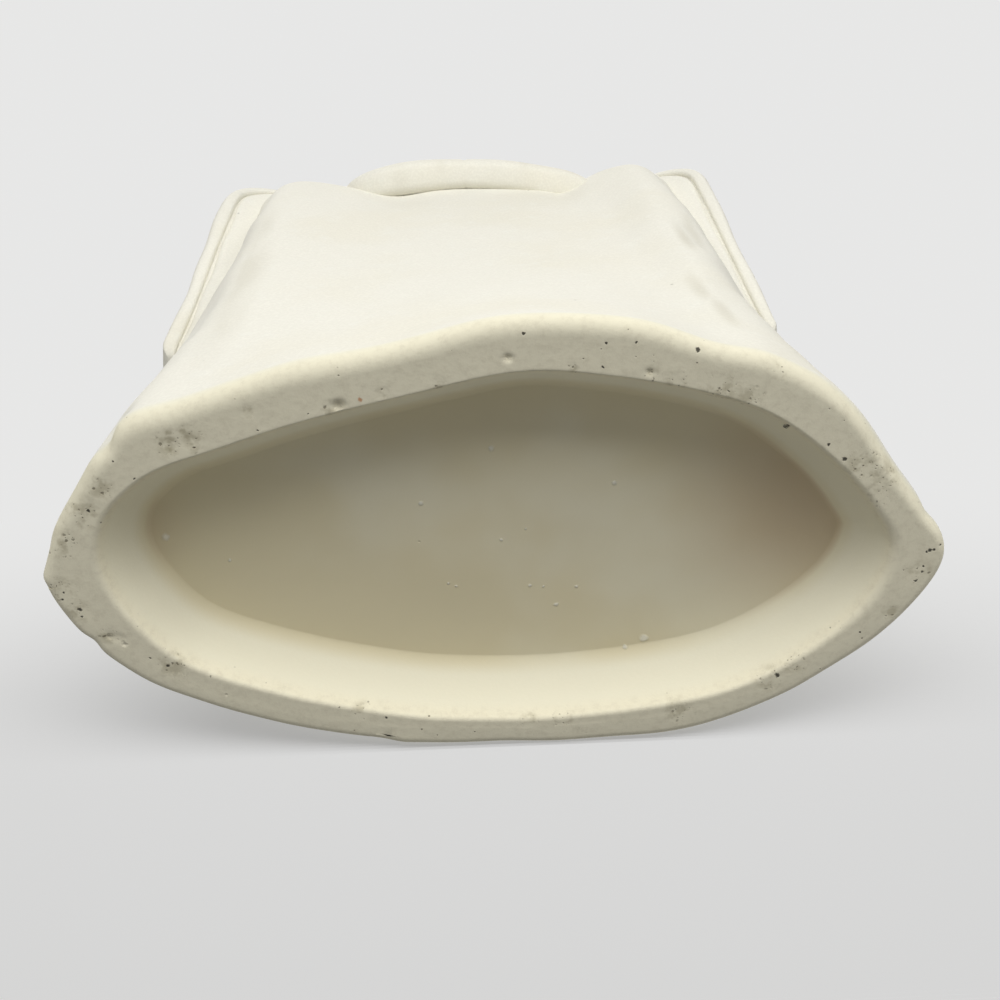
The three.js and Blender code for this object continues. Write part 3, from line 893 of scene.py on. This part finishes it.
# collar: a soft band round the nape and down the wrap
collar = {
    "wide": 16.0,
    "high": 5.4,
    "lapelHigh": 3.6,
    "square": 0.62,
    "overFoot": 66.0,
    "underFoot": 134.0,
    "underEdge": -3.4,
    "overTop": 1 / 3,  # share of the shoulder's run
    "underTop": 1 / 2,
    "underStep": 0.5,
    "overPoints": 7,
    "underPoints": 5,
    "pathStep": 0.01,
    "highWaves": [(0.16, 1.7, 0.4), (0.096, 3.3, 1.0)],  # size, pace along the path, start
    "wideWaves": [(0.035, 0.9, 0.6), (0.02, 2.3, 0.0)],
    "backFade": (-0.05, 0.3),
    "tuck": 0.45,
    "tuckFrom": 0.86,
    "footWide": 0.72,
    "footGrow": 20,
    "lean": (110, 30, 0.95, 0.02),
    "join": (14.3, 0.05, 0.4),  # place along the path, spread, depth
    "stations": 420,
    "section": 40,
    "nape": [  # x, y, share of the shoulder's rise
        (-34.5, -8, 1), (-37, 3, 1), (-37, 13, 0.95), (-35.6, 20, 0.76), (-31, 25, 0.54),
        (-23, 28, 0.44), (-12, 30, 0.56), (0, 30.7, 0.64), (13, 30.9, 0.58), (25.5, 30.4, 0.45),
        (34, 27.3, 0.55), (37.8, 20.5, 0.78), (38.5, 13, 0.95), (37.5, 3, 1), (35, -8, 1),
    ],
}


def collarWaves(kind, at):
    return sum(size * np.sin(pace * at + start) for size, pace, start in collar[kind])


def collarRows():
    top, run = robe["wallTop"], robe["shoulderRun"]
    overV = np.linspace(collar["overFoot"], top + run * collar["overTop"], collar["overPoints"])
    underV = np.linspace(top + run * collar["underTop"], collar["underFoot"], collar["underPoints"])
    underK = collar["underEdge"] - np.arange(collar["underPoints"]) * collar["underStep"]
    nape = np.array(collar["nape"], float)
    leanX, leanY, upright, lessBack = collar["lean"]
    up = upright - lessBack * np.maximum(nape[:, 1], 0)
    tilt = unit(np.column_stack([nape[:, 0] / leanX, nape[:, 1] / leanY, up]))
    nape[:, 2] = top + nape[:, 2] * robe["shoulderRise"]
    points = np.vstack([skin(wrapLine(overV), overV), nape, skin(underK, underV)])
    leans = np.vstack([outward(wrapLine(overV), overV), tilt, outward(underK, underV)])
    count = len(points) - 1
    share = np.linspace(0, 1, collar["stations"])
    at = share * count
    center = spline(points, at, False)
    ahead = np.minimum(at + collar["pathStep"], count)
    behind = np.maximum(at - collar["pathStep"], 0)
    tangent = unit(spline(points, ahead, False) - spline(points, behind, False))
    across = unit(np.cross(tangent, spline(leans, at, False)))
    rise = unit(np.cross(across, tangent))
    turn = (at - len(overV)) / (len(nape) - 1)
    back = smooth(0.5 - np.abs(turn - 0.5), *collar["backFade"])
    tuck = 1 - collar["tuck"] * smooth(share, collar["tuckFrom"], 1)
    high = (collar["lapelHigh"] + (collar["high"] - collar["lapelHigh"]) * back) * tuck
    scale = np.minimum(1, collar["footWide"] + share * collar["footGrow"])
    wide = collar["wide"] * scale * (1 + collarWaves("wideWaves", at))
    angle = np.linspace(0, 2 * math.pi, collar["section"], endpoint=False)
    a, h = (np.sign(n) * np.abs(n) ** collar["square"] for n in (np.cos(angle), np.sin(angle)))
    joinAt, joinWide, joinDepth = collar["join"]
    high = high + collarWaves("highWaves", at)
    high = high - joinDepth * np.exp(-(((at - joinAt) / joinWide) ** 2))
    side = across[:, None] * (a[None, :, None] * wide[:, None, None] / 2)
    lift = rise[:, None] * (h[None, :, None] * (high * scale)[:, None, None])
    return center[:, None] + side + lift


clayPiece("collarRoll", collarRows(), "fan", bodyClay, ["collar"])


# photo's view, from below and behind the standing vase
view = {
    "place": (5.77, 121.76, -206.27),
    "pitch": 28.0,
    "yaw": -1.672,
    "roll": 1.227,
    "lens": 43.2,
    "sensor": 36,
    "nearest": 0.005,
}


def makeCamera():
    pitch, yaw, roll = (math.radians(view[n]) for n in ("pitch", "yaw", "roll"))
    level = math.cos(pitch)
    ahead = Vector((math.sin(yaw) * level, -math.sin(pitch), math.cos(yaw) * level))
    side = ahead.cross(Vector((0, 1, 0))).normalized()
    up = side.cross(ahead)
    right = math.cos(roll) * side - math.sin(roll) * up
    top = math.cos(roll) * up + math.sin(roll) * side
    lens = bpy.data.cameras.new("camera")
    lens.lens = view["lens"]
    lens.sensor_width = view["sensor"]
    lens.clip_start = view["nearest"]
    camera = bpy.data.objects.new("camera", lens)
    scene.collection.objects.link(camera)
    turn = Matrix((right, top, -ahead)).transposed().to_4x4()
    camera.matrix_world = Matrix.Translation(Vector(view["place"]) * mm) @ turn
    scene.camera = camera


makeCamera()


# soft lamps: place in metres, size and watts; all face the middle of the vase
lamps = {
    "key": ((-0.05, 0.90, -0.26), (1.8, 0.6), 13.1),
    "front": ((-0.35, -0.80, 0.62), (0.9, 0.9), 9.0),
    "top": ((0.25, 0.10, 1.10), (0.8, 0.8), 4.0),
}
studio = {
    "ambient": 0.23,
    "backdrop": (0.80, 0.80, 0.795, 1),
    "floor": (0.74, 0.74, 0.735, 1),
    "target": (0, 0, 0.09),
}

for name, (place, size, power) in lamps.items():
    lamp = bpy.data.lights.new(name, "AREA")
    lamp.shape = "RECTANGLE"
    lamp.size, lamp.size_y = size
    lamp.energy = power
    holder = bpy.data.objects.new(name, lamp)
    holder.location = place
    facing = Vector(studio["target"]) - Vector(place)
    holder.rotation_euler = facing.to_track_quat("-Z", "Y").to_euler()
    scene.collection.objects.link(holder)

world = bpy.data.worlds.new("studio")
scene.world = world
air = Paint(world)
camera, glossy, through = (
    air.node("LightPath", out=f"Is {ray} Ray") for ray in ("Camera", "Glossy", "Transmission")
)
seen = camera.most(glossy).most(through)
dim = air.node("Background", None, {"Color": (1, 1, 1, 1), "Strength": studio["ambient"]})
plain = air.node("Background", None, {"Color": studio["backdrop"], "Strength": 1.0})
air.finish(air.node("MixShader", None, {0: seen, 1: dim, 2: plain}))


# floors for the camera alone, each seen from one side, in metres;
# the lying one is in thin slats that face the photo's side
floors = {
    "standing": {"facing": (0, 0, 1), "glow": (0.1, 0.3), "reach": (0.14, 0.5), "far": (1.0, 2.0)},
    "lying": {"facing": (0, 1, 0), "glow": (0.42, 0.42), "reach": (0.3, 0.5), "far": (0.0, 0.1)},
    "glowReach": (0.1, 0.6),
    "half": 2.0,
    "level": -0.0003,
    "slats": 330,
    "slatHalf": 0.5,
    "slatTall": 1.1,
    "slatLean": 0.17,
    "pitch": 0.0009,
    "start": (-0.0668, -0.2),
    "slope": 0.084,
}


def makeFloor(name, points, faces):
    part = floors[name]
    paint = Paint(bpy.data.materials.new(name + "Floor"))
    place = paint.node("TexCoord", out="Object")
    away = paint.node("VectorMath", {"operation": "LENGTH"}, {0: place}, out="Value")
    height = paint.node("SeparateXYZ", None, {0: place}, out="Z")
    front = 1 - paint.node("NewGeometry", out="Backfacing")
    near = away.ramp(*part["reach"], 1, 0) * height.ramp(*part["far"], 1, 0)
    flat = paint.node("CombineXYZ", None, dict(enumerate(part["facing"])))
    lit = paint.node("BsdfDiffuse", None, {"Color": studio["floor"], "Normal": flat})
    even = paint.mix(away.ramp(*floors["glowReach"], *part["glow"]), (0, 0, 0, 1), studio["floor"])
    glow = paint.node("Emission", None, {"Color": even})
    plain = paint.node("AddShader", None, {0: lit, 1: glow})
    beyond = paint.node("Emission", None, {"Color": studio["backdrop"]})
    ground = paint.node("MixShader", None, {0: near, 1: beyond, 2: plain})
    clear = paint.node("BsdfTransparent")
    paint.finish(paint.node("MixShader", None, {0: front, 1: clear, 2: ground}))
    mesh = bpy.data.meshes.new(name + "Floor")
    mesh.from_pydata(points, [], faces)
    mesh.materials.append(paint.owner)
    floor = bpy.data.objects.new(name + "Floor", mesh)
    for ray in ("diffuse", "glossy", "transmission", "volume_scatter", "shadow"):
        setattr(floor, "visible_" + ray, False)
    scene.collection.objects.link(floor)


def slats():
    pitch, half = floors["pitch"], floors["slatHalf"]
    points, faces = [], []
    for i in range(floors["slats"]):
        y = floors["start"][0] + i * pitch * floors["slope"]
        z = floors["start"][1] + i * pitch
        high, lean = y + floors["slatTall"] * pitch, z + floors["slatLean"] * pitch
        points += [(-half, y, z), (half, y, z), (half, high, lean), (-half, high, lean)]
        faces.append([4 * i + 3, 4 * i + 2, 4 * i + 1, 4 * i])
    return points, faces


half, level = floors["half"], floors["level"]
corners = [(-half, -half, level), (half, -half, level), (half, half, level), (-half, half, level)]
makeFloor("standing", corners, [[0, 1, 2, 3]])
makeFloor("lying", *slats())
print("stage: standing floor, lying floor")

scene.view_settings.view_transform = "Standard"
